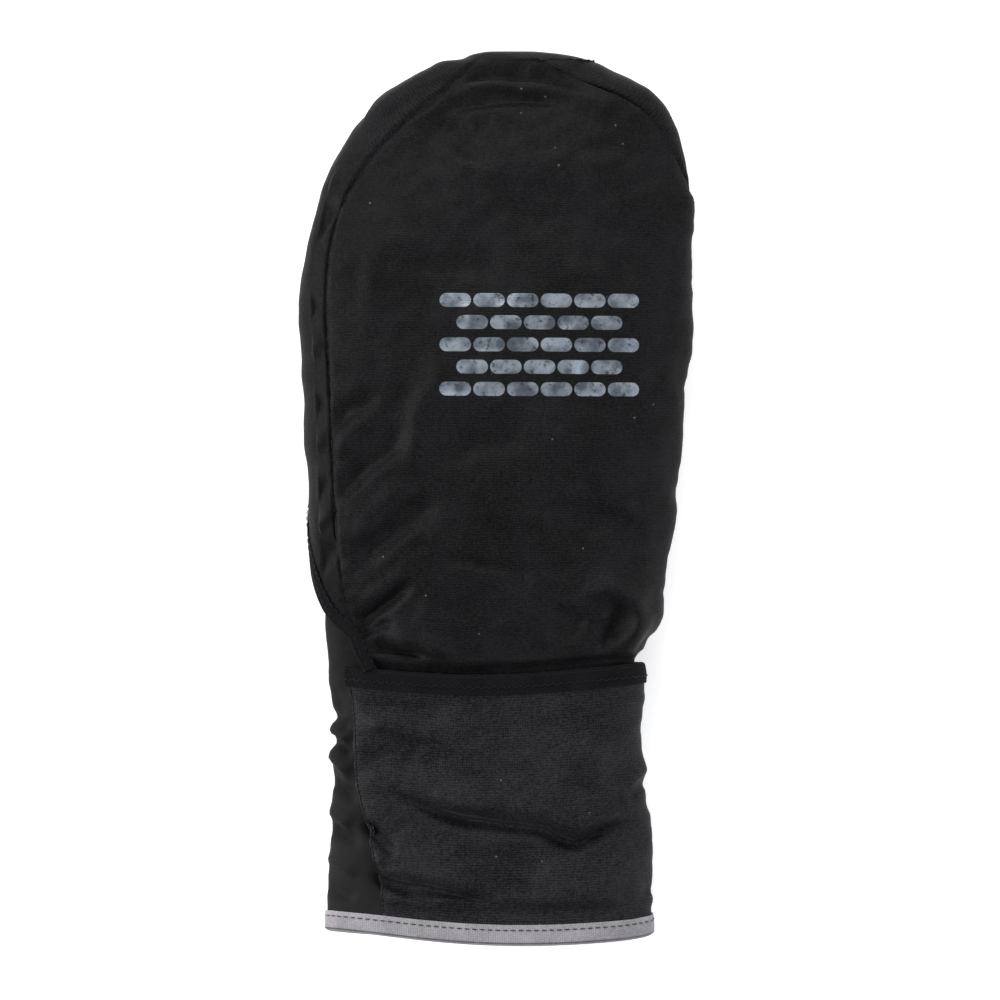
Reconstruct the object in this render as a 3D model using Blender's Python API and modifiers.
"""Ski touring glove for the right hand, with the mitten hood pulled over its fingers.

The glove lies palm down with the thumb tucked under it. The fingers point along +Y, the back of the
hand faces +Z and the thumb side is at -X. Sizes are in metres.

Every layer is cut from one envelope, the outer skin of the hood and of the pocket on the cuff. A
piece is a stretch of that skin at some depth below it, so neighbours keep their gaps when a size
changes. Angles run round the glove from its right edge (0) over the back (90) to its left edge (180)
and the palm (270). Y is 0 at the mouth of the pocket, until the whole glove is centred at the end.
"""

import math

import bmesh
import bpy
import numpy as np

# Overall sizes
HOOD_LENGTH = 0.1853  # pocket mouth to the tip of the hood
HOOD_WIDTH = 0.1178
HOOD_THICKNESS = 0.022
CUFF_LENGTH = 0.0795  # pocket mouth to the hem
CUFF_WIDTH = 0.1008
CUFF_THICKNESS = 0.0256
SIDE_FLATNESS = 0.22  # a section's back and palm are flatter for a smaller number, up to 1
BACK_DOME = 0.16  # rise of the middle of the back, as a share of the half height

# Walls and clearances
HOOD_WALL = 0.0010
BODY_WALL = 0.0018
FINGER_WALL = 0.0014
POCKET_WALL = 0.0010
TAPE_WALL = 0.0006
SEAM_GAP = 0.0003
POCKET_SPACE = 0.0030  # room between the envelope's skin and the glove body

# Body, fingers and thumb
KNUCKLE_STATION = 0.47  # share of HOOD_LENGTH where the fingers begin
FINGER_EASE = 0.0010
FINGER_TIP_SHARE = 0.14  # share of the finger's length that rounds off
FINGER_TIP_TURN = 1.1
HOOD_ROOT_LENGTH = 0.014  # how far the hood reaches down into the pocket
TUCK_LENGTH = 0.008  # stretch over which the hood dives under the pocket's edge
ROOT_INSET = math.radians(20)  # how much narrower than the pocket the hood's root is
THUMB_LENGTH = 0.093
THUMB_WIDTH = 0.026
THUMB_HEIGHT = 0.0088
THUMB_START = 0.006  # above the pocket mouth
THUMB_ROOT_X = -0.310 * HOOD_WIDTH
THUMB_TIP_X = -0.267 * HOOD_WIDTH

# Edge tapes
POCKET_TAPE_WIDTH = 0.0066
HOOD_TAPE_WIDTH = 0.0052
HEM_TAPE_WIDTH = 0.0062
TAPE_EDGE = 0.0012  # from the tape's fold to the raw edge inside it
MOUTH_SAG = 0.0032  # the pocket mouth hangs in a shallow curve
HEM_SAG = 0.0036

# Mesh density
TURNING_WEIGHT = 0.32
BACK_COLUMNS, PALM_COLUMNS, HOOD_ROWS = 22, 26, 18
BODY_SIDES, BODY_ROWS = 36, 14
POCKET_COLUMNS, POCKET_ROWS = 20, 12
FINGER_SIDES, FINGER_ROWS = 14, 8
THUMB_SIDES, THUMB_ROWS = 16, 15

# The envelope's sections, from the hem to the tip. The station, left, right, middle and half height
# are shares: of the cuff's sizes below the pocket mouth and of the hood's above it. The roll is the
# rise towards the thumb side. The seams lie across the back, from -1 at the left edge to 1 at the
# right one, and past 1 they are under the right edge.
CUFF_SECTIONS = (
    # station, left, right, middle, half, roll, left seam, right seam
    (-1.000, -0.550, 0.502, 0.415, 0.468, 0.000, -0.63, 1.12),
    (-0.930, -0.548, 0.498, 0.415, 0.468, 0.000, -0.64, 1.12),
    (-0.855, -0.546, 0.488, 0.383, 0.469, 0.000, -0.66, 1.12),
    (-0.663, -0.539, 0.464, 0.377, 0.463, 0.000, -0.74, 1.12),
    (-0.446, -0.532, 0.448, 0.379, 0.461, 0.010, -0.80, 1.12),
    (-0.229, -0.528, 0.436, 0.408, 0.443, 0.020, -0.81, 1.12),
    (-0.048, -0.540, 0.441, 0.465, 0.418, 0.035, -0.82, 1.12),
)
HOOD_SECTIONS = (
    (0.027, -0.466, 0.373, 0.618, 0.473, 0.050, -0.76, 1.06),
    (0.059, -0.468, 0.404, 0.639, 0.466, 0.060, -0.76, 1.06),
    (0.092, -0.469, 0.424, 0.670, 0.461, 0.075, -0.80, 1.06),
    (0.157, -0.470, 0.435, 0.727, 0.464, 0.100, -0.84, 1.06),
    (0.243, -0.476, 0.450, 0.777, 0.459, 0.120, -0.86, 1.06),
    (0.351, -0.485, 0.467, 0.791, 0.455, 0.125, -0.86, 1.06),
    (0.480, -0.496, 0.487, 0.766, 0.443, 0.115, -0.86, 1.06),
    (0.610, -0.500, 0.500, 0.686, 0.432, 0.085, -0.87, 1.05),
    (0.723, -0.465, 0.497, 0.584, 0.407, 0.055, -0.88, 1.02),
    (0.820, -0.420, 0.481, 0.498, 0.375, 0.035, -0.79, 0.96),
    (0.890, -0.338, 0.447, 0.427, 0.336, 0.025, -0.70, 0.87),
    (0.936, -0.234, 0.395, 0.375, 0.298, 0.020, -0.68, 0.60),
    (0.966, -0.146, 0.304, 0.336, 0.245, 0.020, -0.71, 0.38),
    (0.985, -0.093, 0.246, 0.323, 0.200, 0.020, -0.74, 0.02),
    (0.995, -0.068, 0.178, 0.318, 0.140, 0.020, -0.76, -0.30),
    (1.000, -0.035, 0.110, 0.318, 0.080, 0.020, -0.88, -0.42),
)

# The edge of the hood on the palm side: share of the way round from its left seam to its right
# one, and share of HOOD_LENGTH. It climbs to clear the thumb and falls to the little finger's side.
HOOD_EDGE = (
    (0.00, 0.0432),
    (0.05, 0.079),
    (0.10, 0.125),
    (0.15, 0.165),
    (0.20, 0.208),
    (0.26, 0.248),
    (0.33, 0.280),
    (0.42, 0.300),
    (0.52, 0.300),
    (0.64, 0.262),
    (0.76, 0.190),
    (0.87, 0.114),
    (0.95, 0.066),
    (1.00, 0.0432),
)

CREASE_HALF_WIDTH = 0.0050
CREASE_DEPTH = 0.0012

# Creases on the back: the two ends, the half width and the depth. Across is a share of HOOD_WIDTH
# or CUFF_WIDTH, along is a share of HOOD_LENGTH or CUFF_LENGTH, the last two are shares of the sizes
# above, and a negative depth is a ridge.
HOOD_CREASES = (
    # across, along, across, along, half width, depth
    (-0.10, 0.970, 0.22, 0.955, 0.70, 1.00),
    (-0.16, 0.900, 0.06, 0.820, 1.40, 0.75),
    (-0.42, 0.290, -0.20, 0.420, 1.00, 1.00),
    (-0.20, 0.420, -0.14, 0.560, 1.10, 0.83),
    (-0.40, 0.140, -0.18, 0.270, 1.20, 1.17),
    (-0.38, 0.075, -0.12, 0.120, 0.80, 1.17),
    (-0.28, 0.200, 0.05, 0.175, 1.20, -0.67),
    (0.34, 0.200, 0.37, 0.090, 0.90, 1.67),
    (0.36, 0.085, 0.30, 0.030, 0.90, 1.50),
    (-0.34, 0.030, -0.16, 0.025, 0.90, 1.33),
)
CUFF_CREASES = (
    (-0.32, -0.550, 0.05, -0.640, 0.70, 1.33),
    (0.05, -0.640, 0.22, -0.720, 0.70, 1.50),
    (0.22, -0.720, 0.44, -0.640, 0.70, 1.33),
    (-0.30, -0.500, 0.40, -0.560, 1.20, -0.67),
    (-0.34, -0.845, 0.05, -0.960, 0.80, 1.17),
    (-0.30, -0.330, -0.14, -0.480, 1.00, 0.75),
)

# Fingers inside the hood: where each begins and ends across the hand, and how far it reaches.
FINGERS = (
    ("finger_index", 0.000, 0.247, 0.850),
    ("finger_middle", 0.247, 0.505, 0.905),
    ("finger_ring", 0.505, 0.760, 0.880),
    ("finger_little", 0.760, 1.000, 0.780),
)

# The thumb's sections, from its root in the palm to its tip: share of THUMB_LENGTH, underside and
# top as shares of THUMB_HEIGHT, and half width as a share of THUMB_WIDTH.
THUMB_SECTIONS = (
    (0.000, 0.80, 1.36, 0.12),
    (0.070, 0.41, 1.59, 0.33),
    (0.160, 0.09, 1.82, 0.44),
    (0.270, -0.05, 1.93, 0.49),
    (0.380, -0.05, 1.76, 0.50),
    (0.460, -0.05, 1.25, 0.49),
    (0.520, -0.05, 1.00, 0.485),
    (0.700, -0.05, 1.00, 0.475),
    (0.850, -0.03, 0.95, 0.44),
    (0.940, 0.04, 0.84, 0.34),
    (0.985, 0.18, 0.66, 0.18),
    (1.000, 0.34, 0.50, 0.04),
)

BLACK_NYLON = ("black nylon", (0.012, 0.012, 0.014), 0.62)
BLACK_SOFTSHELL = ("black softshell", (0.016, 0.016, 0.018), 0.80)
BLACK_TAPE = ("black elastic tape", (0.010, 0.010, 0.014), 0.85)
GREY_TAPE = ("grey elastic tape", (0.200, 0.190, 0.205), 0.75)


def clear_scene():
    for obj in list(bpy.data.objects):
        bpy.data.objects.remove(obj, do_unlink=True)


def smooth_step(x):
    x = np.clip(x, 0.0, 1.0)
    return x * x * (3 - 2 * x)


def spline(table, place):
    """Rows of a table read at fractional places, on a Catmull-Rom curve through them."""
    last = len(table) - 1
    place = np.clip(place, 0, last)
    i = np.minimum(place.astype(int), last - 1)
    f = (place - i)[..., None]
    before, here = table[np.maximum(i - 1, 0)], table[i]
    after, beyond = table[i + 1], table[np.minimum(i + 2, last)]
    bend = 2 * before - 5 * here + 4 * after - beyond
    twist = 3 * here - before - 3 * after + beyond
    return here + 0.5 * ((after - before) * f + bend * f**2 + twist * f**3)


def across(angle):
    """How far to the side an angle's point lies, from -1 at the left edge to 1 at the right edge."""
    c = np.cos(angle)
    return np.sign(c) * np.abs(c) ** SIDE_FLATNESS


def seam_angle(position, flat_share):
    """The angle whose point lies at a position across the back, found by halving."""
    below = np.abs(position) > 1
    target = np.where(below, 2 - np.abs(position), np.abs(position))
    low, high = np.zeros(target.shape), np.full(target.shape, math.pi / 2)
    for _ in range(40):
        mid = (low + high) / 2
        outside = flat_share * across(mid) + (1 - flat_share) * np.cos(mid) > target
        low, high = np.where(outside, mid, low), np.where(outside, high, mid)
    return np.where(position < 0, math.pi - low, np.where(below, -low, low))


def section_table():
    """The envelope's sections in metres, with the angles of the two seams in the last columns."""
    rows = []
    for sections, length, width, thickness in (
        (CUFF_SECTIONS, CUFF_LENGTH, CUFF_WIDTH, CUFF_THICKNESS),
        (HOOD_SECTIONS, HOOD_LENGTH, HOOD_WIDTH, HOOD_THICKNESS),
    ):
        scale = np.array([length, width, width, thickness, thickness, 1.0, 1.0, 1.0])
        rows.append(np.array(sections) * scale)
    table = np.concatenate(rows)
    flat_share = 1 - 2 * table[:, 4] / (table[:, 2] - table[:, 1])
    table[:, 6:] = np.stack([seam_angle(table[:, k], flat_share) for k in (6, 7)], axis=1)
    return table


SECTIONS = section_table()
NOSE_PLACE = len(SECTIONS) - 1
FINE_PLACES = np.linspace(0, NOSE_PLACE, 40 * NOSE_PLACE + 1)
FINE_STATIONS = np.maximum.accumulate(spline(SECTIONS, FINE_PLACES)[:, 0])


def place_at(y):
    """The place along the section table whose station is y."""
    return np.interp(y, FINE_STATIONS, FINE_PLACES)


def crease_depth(x, y, creases, width, length):
    """Depth of all the creases at x and y: each is a rounded valley that fades at its ends."""
    total = np.zeros(np.broadcast(x, y).shape)
    for x0, y0, x1, y1, half_width, depth in creases:
        ax, ay, bx, by = x0 * width, y0 * length, x1 * width, y1 * length
        span = math.hypot(bx - ax, by - ay)
        along = ((x - ax) * (bx - ax) + (y - ay) * (by - ay)) / span**2
        aside = ((x - ax) * (by - ay) - (y - ay) * (bx - ax)) / span
        fade = smooth_step((along + 0.15) / 0.3) * smooth_step((1.15 - along) / 0.3)
        total += CREASE_DEPTH * depth * fade * np.exp(-((aside / (CREASE_HALF_WIDTH * half_width)) ** 2))
    return total


def hem_shift(angle, y):
    """How far the hem's curve hangs below its ends, fading out up the cuff."""
    hang = 1 - ((across(angle) - 0.08 - 0.17 * np.sin(angle)) / 1.08) ** 2
    return -HEM_SAG * hang * smooth_step((-y / CUFF_LENGTH - 0.55) / 0.45)


def skin(angle, place, depth=0.0):
    """Points at a depth below the envelope's skin.

    A section is a flat oval: its ends are rounded by the half height that is left at that depth.
    """
    section = spline(SECTIONS, place)
    y, left, right, middle, half, roll = (section[..., k] for k in range(6))
    centre, reach, round_part = (left + right) / 2, (right - left) / 2, half - depth
    x = centre + (reach - half) * across(angle) + round_part * np.cos(angle)
    dome = BACK_DOME * half * np.maximum(1 - ((x - centre) / reach) ** 2, 0) * smooth_step(np.sin(angle))
    z = middle + roll * (centre - x) + round_part * np.sin(angle) + dome
    y = y + hem_shift(angle, y)
    return np.stack(np.broadcast_arrays(x, y, z), axis=-1)


def spacing_measure(angles, place):
    """How far round the glove each angle is, by girth and partly by turning, so that the tight
    curves at the sides get as many columns as they need."""
    points = skin(angles, place)[:, [0, 2]]
    step = np.diff(points, axis=0)
    girth = np.linalg.norm(step, axis=-1)
    heading = np.unwrap(np.arctan2(step[:, 1], step[:, 0]))
    turning = np.concatenate([[0.0], np.abs(np.diff(heading))])
    rounds = (angles[-1] - angles[0]) / (2 * math.pi)
    share = (1 - TURNING_WEIGHT) * girth / girth.sum() + TURNING_WEIGHT * turning / turning.sum()
    return np.concatenate([[0.0], np.cumsum(share)]) * rounds


def fine_angles():
    """Angles over two turns, close together where the section runs flat across back and palm."""
    step = 90 * np.linspace(0, 1, 241) ** (1 / SIDE_FLATNESS)
    halves = [np.concatenate([middle - step[::-1], middle + step[1:]]) for middle in (-90, 90, 270, 450)]
    return np.radians(np.unique(np.concatenate(halves)))


FINE_ANGLES = fine_angles()
MEASURE = spacing_measure(FINE_ANGLES, place_at(0.5 * HOOD_LENGTH))


def angles_between(start, end, share):
    """Angles from start to end, spaced by the measure above."""
    first, last = np.interp(start, FINE_ANGLES, MEASURE), np.interp(end, FINE_ANGLES, MEASURE)
    return np.interp(first + (last - first) * share, MEASURE, FINE_ANGLES)


def seam_angles(place):
    section = spline(SECTIONS, place)
    return section[..., 6], section[..., 7]


def seam_drawn_in(points):
    """A panel's points with its first and last columns moved in, square to the seam, to leave a gap.

    The gap widens at the nose, where the walls on either side of the seam lean together.
    """
    points = points.copy()
    at_nose = smooth_step((points[:, 0, 1:2] / HOOD_LENGTH - 0.9) / 0.1)
    amount = SEAM_GAP * (1.6 + 1.4 * at_nose)
    for border, inner in ((0, 1), (-1, -2)):
        along = np.gradient(points[:, border], axis=0)
        along /= np.linalg.norm(along, axis=1, keepdims=True)
        way = points[:, inner] - points[:, border]
        way = way - (way * along).sum(axis=1, keepdims=True) * along
        length = np.linalg.norm(way, axis=1, keepdims=True)
        points[:, border] += way * np.minimum(amount / length, 0.5)
    return points


def new_mesh_object(name, vertices, faces, collection):
    mesh = bpy.data.meshes.new(name)
    mesh.from_pydata([tuple(v) for v in vertices], [], faces)
    mesh.update()
    obj = bpy.data.objects.new(name, mesh)
    collection.objects.link(obj)
    return obj


def grid_faces(rows, columns, closed):
    """Quads of a grid. A closed grid joins its last column to its first."""
    faces = []
    for i in range(rows - 1):
        for j in range(columns if closed else columns - 1):
            k = (j + 1) % columns
            faces.append((i * columns + j, i * columns + k, (i + 1) * columns + k, (i + 1) * columns + j))
    return faces


def grid_object(name, points, collection, closed=False, capped=False, cap_end=False):
    rows, columns = points.shape[:2]
    faces = grid_faces(rows, columns, closed)
    if capped:
        faces.append(tuple(range(columns))[::-1])
    if capped or cap_end:
        faces.append(tuple(range((rows - 1) * columns, rows * columns)))
    obj = new_mesh_object(name, points.reshape(-1, 3), faces, collection)
    if capped:
        face_outward(obj.data)
    return obj


def face_outward(mesh):
    shape = bmesh.new()
    shape.from_mesh(mesh)
    bmesh.ops.recalc_face_normals(shape, faces=shape.faces)
    shape.to_mesh(mesh)
    shape.free()


def add_wall(obj, thickness):
    """Gives a surface its wall, inwards from its outer face."""
    wall = obj.modifiers.new("wall", "SOLIDIFY")
    wall.thickness = thickness
    wall.offset = -1.0
    wall.use_even_offset = False


def cut(obj, cutter):
    boolean = obj.modifiers.new("cut_" + cutter.name, "BOOLEAN")
    boolean.operation = "DIFFERENCE"
    boolean.solver = "EXACT"
    boolean.object = cutter


def hide_cutter(obj):
    obj.hide_render = True
    obj.display_type = "WIRE"


def paint(obj, finish):
    name, colour, roughness = finish
    material = bpy.data.materials.get(name) or bpy.data.materials.new(name)
    material.use_nodes = True
    shader = material.node_tree.nodes["Principled BSDF"]
    shader.inputs["Base Color"].default_value = (*colour, 1.0)
    shader.inputs["Roughness"].default_value = roughness
    obj.data.materials.append(material)


def pocket_mouth(angle):
    """Y of the pocket's mouth at an angle: it hangs lowest in the middle of the back."""
    return -MOUTH_SAG * (1 - across(angle) ** 2)


def pocket_depth(share, y):
    """Depth of the pocket's panel: down on the body along its seams, puffed out between them."""
    seated = POCKET_SPACE + HOOD_WALL - SEAM_GAP - POCKET_WALL
    up_the_cuff = smooth_step((y + CUFF_LENGTH) / (0.35 * CUFF_LENGTH))
    at_the_mouth = smooth_step((y + 3 * POCKET_TAPE_WIDTH) / (2 * POCKET_TAPE_WIDTH))
    puff = np.clip(4 * share * (1 - share), 0, 1) ** (0.6 - 0.45 * up_the_cuff)
    puff = np.maximum(puff, 0.62 * at_the_mouth)
    return seated * (1 - puff * (0.25 + 0.75 * up_the_cuff))


def hood_tuck(y):
    """Depth of the hood near the pocket: on the skin above it, under the pocket's panel below."""
    full = 1.1 * POCKET_WALL + TAPE_WALL + 3 * SEAM_GAP
    return full * smooth_step((TUCK_LENGTH - y) / TUCK_LENGTH)


def body_depth(angle):
    """Depth of the body's outer face: room for hood and pocket on the back, for a tape in the palm."""
    back, palm = HOOD_WALL + POCKET_SPACE, HOOD_WALL + TAPE_WALL + 3 * SEAM_GAP
    return palm + (back - palm) * smooth_step((1 + np.sin(angle)) / 0.12)


def body_angles():
    share = np.arange(BODY_SIDES) / BODY_SIDES
    return angles_between(math.radians(180), math.radians(-180), share)


def hood_rows():
    """Places of the rows that both panels of the hood share, so that their seams match."""
    return np.linspace(place_at(TUCK_LENGTH), NOSE_PLACE, HOOD_ROWS)


def make_hood_back(collection):
    """The hood's back panel, from its root inside the pocket to the seam round its tip."""
    tuck = np.array([-HOOD_ROOT_LENGTH, -HOOD_ROOT_LENGTH / 2, 0, TUCK_LENGTH / 2])
    place = np.concatenate([place_at(tuck), hood_rows()])[:, None]
    share = np.linspace(0, 1, BACK_COLUMNS)[None, :]
    left, right = seam_angles(np.maximum(place, place_at(HOOD_SECTIONS[0][0] * HOOD_LENGTH)))
    inside = smooth_step((TUCK_LENGTH - spline(SECTIONS, place)[..., 0]) / TUCK_LENGTH)
    left, right = left - inside * ROOT_INSET, right + 1.5 * inside * ROOT_INSET
    angle = angles_between(left, right, share)
    flat = skin(angle, place)
    creases = crease_depth(flat[..., 0], flat[..., 1], HOOD_CREASES, HOOD_WIDTH, HOOD_LENGTH)
    depth = hood_tuck(flat[..., 1]) + creases * (1 - inside)
    points = seam_drawn_in(skin(angle, place, depth))
    obj = grid_object("hood_back", points, collection)
    add_wall(obj, HOOD_WALL)
    paint(obj, BLACK_NYLON)


def hood_edge_y(share):
    """Y of the hood's edge on the palm side, at a share of the way from left seam to right seam."""
    table = np.array(HOOD_EDGE)
    fine = np.linspace(0, len(table) - 1, 241)
    curve = spline(table, fine)
    return np.interp(share, np.maximum.accumulate(curve[:, 0]), curve[:, 1]) * HOOD_LENGTH


def palm_shares():
    return np.linspace(1, 0, PALM_COLUMNS) ** 1.15


def palm_angle(share, place):
    left, right = seam_angles(place)
    return angles_between(left, right + 2 * math.pi, share)


def make_hood_palm(collection):
    """The hood's palm panel, which wraps up round the thumb side to meet the back panel."""
    share = palm_shares()[None, :]
    edge = place_at(hood_edge_y(share))
    rows = hood_rows()
    row = (rows[:, None] - rows[0]) / (NOSE_PLACE - rows[0])
    place = edge + (NOSE_PLACE - edge) * row
    points = skin(palm_angle(share, place), place)
    points = seam_drawn_in(points)
    obj = grid_object("hood_palm", points, collection)
    add_wall(obj, HOOD_WALL)
    paint(obj, BLACK_NYLON)


def body_points(gap=0.0):
    """The body's sections, from the hem over the hand to the roots of the fingers."""
    rows = np.linspace(place_at(-0.93 * CUFF_LENGTH), place_at(KNUCKLE_STATION * HOOD_LENGTH), BODY_ROWS - 1)
    place = np.concatenate([[place_at(-CUFF_LENGTH)], rows])[:, None]
    points = skin(body_angles(), place, body_depth(body_angles()) - gap)
    points[0, :, 1] += TAPE_EDGE
    points[-1, :, 1] = KNUCKLE_STATION * HOOD_LENGTH - SEAM_GAP
    return points


def make_body(collection, thumb_hollow):
    """The glove's own shell, an open tube with a hole in its palm for the thumb."""
    obj = grid_object("glove_body", body_points(), collection, closed=True)
    add_wall(obj, BODY_WALL)
    cut(obj, thumb_hollow)
    paint(obj, BLACK_SOFTSHELL)


def finger_room(section, centre, half_width):
    """The greatest half height of a finger that stays clear of the hood all across its width."""
    angle = np.linspace(math.pi, 0, 181)
    share = np.linspace(-0.85, 0.85, 9)
    own = np.sqrt(1 - share**2) ** 0.7
    room = np.empty(centre.shape)
    for row in range(len(centre)):
        left, right, half = section[row, 0, 1], section[row, 0, 2], section[row, 0, 4]
        middle_x, reach = (left + right) / 2, (right - left) / 2
        x = middle_x + (reach - half) * across(angle) + half * np.cos(angle)
        over = np.interp(centre[row] + share * half_width[row], x, half * np.sin(angle))
        room[row] = np.min((over - HOOD_WALL - FINGER_EASE) / own)
    return room


def make_finger(collection, name, first, last, reach):
    """One finger stall, a flat tube with a round closed tip, between its share of the hand's width."""
    y0 = KNUCKLE_STATION * HOOD_LENGTH + SEAM_GAP
    y1 = reach * HOOD_LENGTH
    turn = np.linspace(0, FINGER_TIP_TURN, 4)[1:]
    tip = FINGER_TIP_SHARE * np.sin(turn) / math.sin(FINGER_TIP_TURN)
    shares = np.concatenate([np.linspace(0, 1 - FINGER_TIP_SHARE, FINGER_ROWS - 3), 1 - FINGER_TIP_SHARE + tip])
    narrowing = np.concatenate([np.ones(FINGER_ROWS - 3), np.cos(turn)])
    y = (y0 + (y1 - y0) * shares)[:, None]
    section = spline(SECTIONS, place_at(y))
    margin = HOOD_WALL + POCKET_SPACE
    left, right = section[..., 1] + margin, section[..., 2] - margin
    low = left + (right - left) * first + SEAM_GAP
    high = left + (right - left) * last - SEAM_GAP
    centre, half_width = (low + high) / 2, (high - low) / 2
    half_height = np.minimum(finger_room(section, centre, half_width), section[..., 4] - margin)
    turn = -2 * math.pi * np.arange(FINGER_SIDES)[None, :] / FINGER_SIDES
    straight = np.maximum(half_width - half_height, 0.0)
    narrowing = narrowing[:, None]
    x = centre + (straight * across(turn) + (half_width - straight) * np.cos(turn)) * narrowing
    middle = section[..., 3] + section[..., 5] * ((section[..., 1] + section[..., 2]) / 2 - x)
    z = middle + half_height * np.sin(turn) * narrowing
    points = np.stack([x, np.broadcast_to(y, x.shape), z], axis=-1)
    obj = grid_object(name, points, collection, closed=True, cap_end=True)
    add_wall(obj, FINGER_WALL)
    paint(obj, BLACK_SOFTSHELL)


def thumb_grid(inset):
    """Sections of the thumb, drawn in by an inset: 0 for its outside, its wall for its hollow."""
    table = np.array(THUMB_SECTIONS)
    rows = spline(table, np.linspace(0, len(table) - 1, THUMB_ROWS))
    y = THUMB_START + rows[:, 0] * THUMB_LENGTH
    y = np.clip(y, THUMB_START + inset, THUMB_START + THUMB_LENGTH - inset)[:, None]
    low = np.maximum(rows[:, 1] * THUMB_HEIGHT, 0.0)[:, None] + inset
    high = (rows[:, 2] * THUMB_HEIGHT)[:, None] - inset
    least = SEAM_GAP / 2
    half_height = np.maximum((high - low) / 2, least)
    half_width = np.maximum((rows[:, 3] * THUMB_WIDTH)[:, None] - inset, least)
    centre = THUMB_ROOT_X + (THUMB_TIP_X - THUMB_ROOT_X) * rows[:, 0][:, None]
    turn = -2 * math.pi * np.arange(THUMB_SIDES)[None, :] / THUMB_SIDES
    straight = np.maximum(half_width - half_height, 0.0)
    x = centre + straight * across(turn) + (half_width - straight) * np.cos(turn)
    z = (low + high) / 2 + half_height * np.sin(turn)
    return np.stack([x, np.broadcast_to(y, x.shape), z], axis=-1)


def make_thumb_hollow(cutters):
    obj = grid_object("thumb_hollow", thumb_grid(FINGER_WALL), cutters, closed=True, capped=True)
    hide_cutter(obj)
    return obj


def make_thumb(collection, cutters, thumb_hollow):
    """The thumb stall, tucked under the palm. It is open where it joins the palm of the body."""
    hand_form = grid_object("hand_form", body_points(SEAM_GAP), cutters, closed=True, capped=True)
    hide_cutter(hand_form)
    obj = grid_object("thumb", thumb_grid(0.0), collection, closed=True, capped=True)
    cut(obj, thumb_hollow)
    cut(obj, hand_form)
    paint(obj, BLACK_SOFTSHELL)


def make_cuff_pocket(collection):
    """The pocket's panel on the back of the cuff, sewn down along its left seam, hem and right side."""
    y_low = -CUFF_LENGTH + HEM_TAPE_WIDTH + 3 * SEAM_GAP
    share = np.linspace(0, 1, POCKET_COLUMNS)[None, :]
    row = np.linspace(0, 1, POCKET_ROWS)[:, None]
    place = place_at(y_low) + (place_at(-TAPE_EDGE) - place_at(y_low)) * row
    left, right = seam_angles(np.minimum(place, place_at(CUFF_SECTIONS[-1][0] * CUFF_LENGTH)))
    angle = angles_between(left, right, share)
    y_top = pocket_mouth(angle) - TAPE_EDGE
    place = place_at(y_low + (y_top - y_low) * row)
    flat = skin(angle, place)
    creases = crease_depth(flat[..., 0], flat[..., 1], CUFF_CREASES, CUFF_WIDTH, CUFF_LENGTH)
    free = np.clip(5 * share, 0, 1) * np.clip(5 * (1 - share), 0, 1) * np.clip(6 * (1 - row), 0, 1)
    depth = pocket_depth(share, flat[..., 1]) + creases * free
    depth = np.minimum(depth, pocket_depth(0.0, 0.0))
    obj = grid_object("cuff_pocket", skin(angle, place, depth), collection)
    add_wall(obj, POCKET_WALL)
    paint(obj, BLACK_NYLON)


def fold_tape(name, panel_point, width, wall, finish, collection, closed=False):
    """An edge tape: a strip folded over a raw edge, with a leg on either side of the wall.

    panel_point gives the points of the panel's skin, for a reach in from the tape's fold and a depth
    below the panel's outer face.
    """
    out = 1.3 * SEAM_GAP + TAPE_WALL
    inner = 1.1 * wall + out
    profile = (
        # reach, depth
        (width, inner),
        (0.5 * width, inner),
        (0.3 * TAPE_EDGE, inner - 0.1 * out),
        (0.0, 0.5 * wall),
        (0.3 * TAPE_EDGE, -0.9 * out),
        (0.5 * width, -out),
        (width, -out),
    )
    points = np.stack([panel_point(reach, depth) for reach, depth in profile])
    obj = grid_object(name, points, collection, closed=closed)
    add_wall(obj, TAPE_WALL)
    paint(obj, finish)


def make_pocket_tape(collection):
    """The tape on the pocket's mouth, across the back of the wrist."""
    left, right = seam_angles(place_at(CUFF_SECTIONS[-1][0] * CUFF_LENGTH))
    share = np.linspace(1, 0, POCKET_COLUMNS)
    angle = angles_between(left, right, share)

    def panel_point(reach, depth):
        y = pocket_mouth(angle) - reach
        return skin(angle, place_at(y), pocket_depth(share, y) + depth)

    fold_tape("pocket_tape", panel_point, POCKET_TAPE_WIDTH, POCKET_WALL, BLACK_TAPE, collection)


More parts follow.
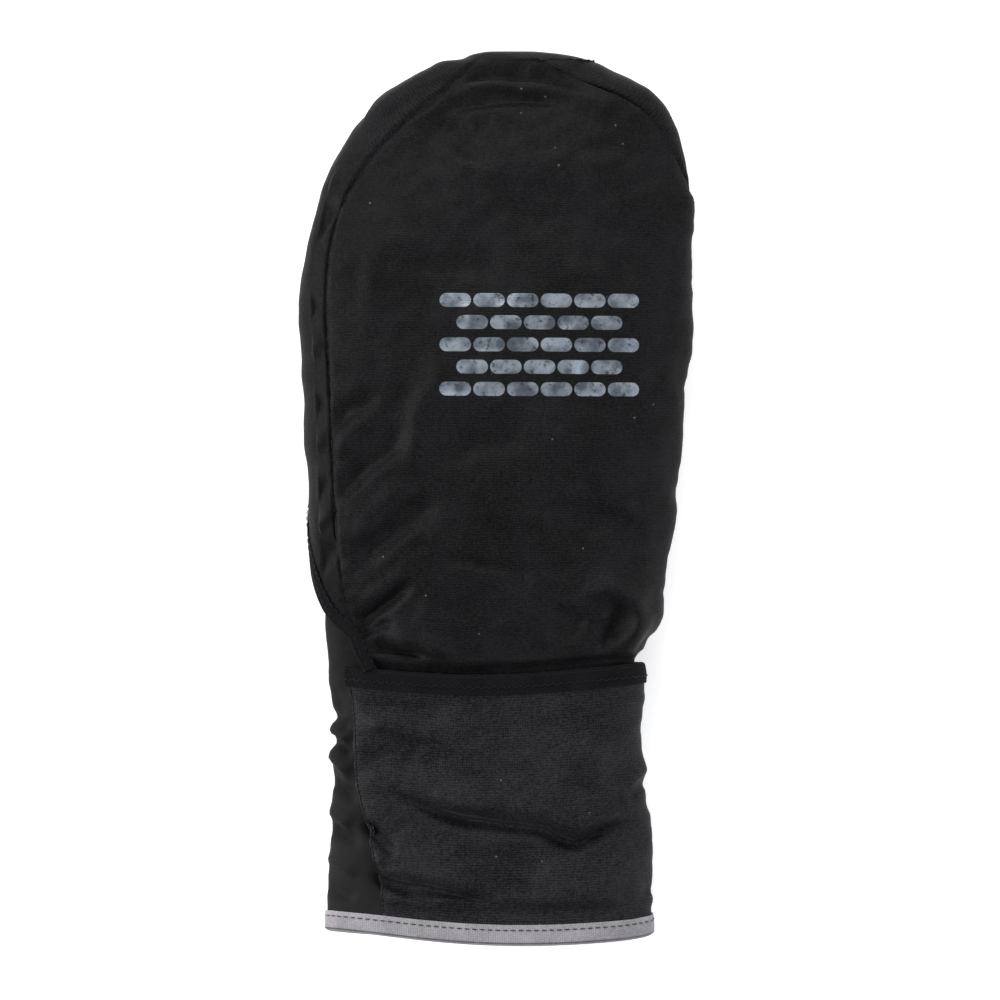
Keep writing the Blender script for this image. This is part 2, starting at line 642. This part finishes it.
def make_hood_tape(collection):
    """The elastic tape round the hood's edge, from one corner of the pocket to the other."""
    share = palm_shares()[1:-1]
    edge = hood_edge_y(share)
    along = np.gradient(skin(palm_angle(share, place_at(edge)), place_at(edge)), axis=0)
    stretch = np.minimum(1.2 * np.linalg.norm(along, axis=1) / np.hypot(along[:, 0], along[:, 2]), 3.5)

    def panel_point(reach, depth):
        place = place_at(edge + (reach - TAPE_EDGE) * stretch)
        return skin(palm_angle(share, place), place, depth)

    fold_tape("hood_tape", panel_point, HOOD_TAPE_WIDTH, HOOD_WALL, BLACK_TAPE, collection)


def make_hem_tape(collection):
    """The grey tape round the hem, where the hand goes in."""

    def panel_point(reach, depth):
        angle = body_angles()
        return skin(angle, place_at(-CUFF_LENGTH + reach), body_depth(angle) + depth)

    fold_tape("hem_tape", panel_point, HEM_TAPE_WIDTH, BODY_WALL, GREY_TAPE, collection, closed=True)


def centre_on_ground(collection, cutters):
    """Parents every piece and cutter to one empty that puts the glove's box over the origin."""
    bpy.context.view_layer.update()
    graph = bpy.context.evaluated_depsgraph_get()
    corners = []
    for obj in collection.objects:
        mesh = obj.evaluated_get(graph).to_mesh()
        points = np.empty(len(mesh.vertices) * 3, np.float32)
        mesh.vertices.foreach_get("co", points)
        points = points.reshape(-1, 3)
        corners += [points.min(axis=0), points.max(axis=0)]
    low, high = np.min(corners, axis=0), np.max(corners, axis=0)
    holder = bpy.data.objects.new("glove", None)
    pieces = list(collection.objects) + list(cutters.objects)
    collection.objects.link(holder)
    holder.location = (-(low[0] + high[0]) / 2, -(low[1] + high[1]) / 2, -low[2])
    for obj in pieces:
        obj.parent = holder
        for polygon in obj.data.polygons:
            polygon.use_smooth = True


def main():
    clear_scene()
    glove = bpy.data.collections.new("ski touring glove")
    cutters = bpy.data.collections.new("cutters")
    bpy.context.scene.collection.children.link(glove)
    bpy.context.scene.collection.children.link(cutters)
    thumb_hollow = make_thumb_hollow(cutters)
    make_body(glove, thumb_hollow)
    make_thumb(glove, cutters, thumb_hollow)
    for finger in FINGERS:
        make_finger(glove, *finger)
    make_hood_back(glove)
    make_hood_palm(glove)
    make_hood_tape(glove)
    make_cuff_pocket(glove)
    make_pocket_tape(glove)
    make_hem_tape(glove)
    centre_on_ground(glove, cutters)


main()
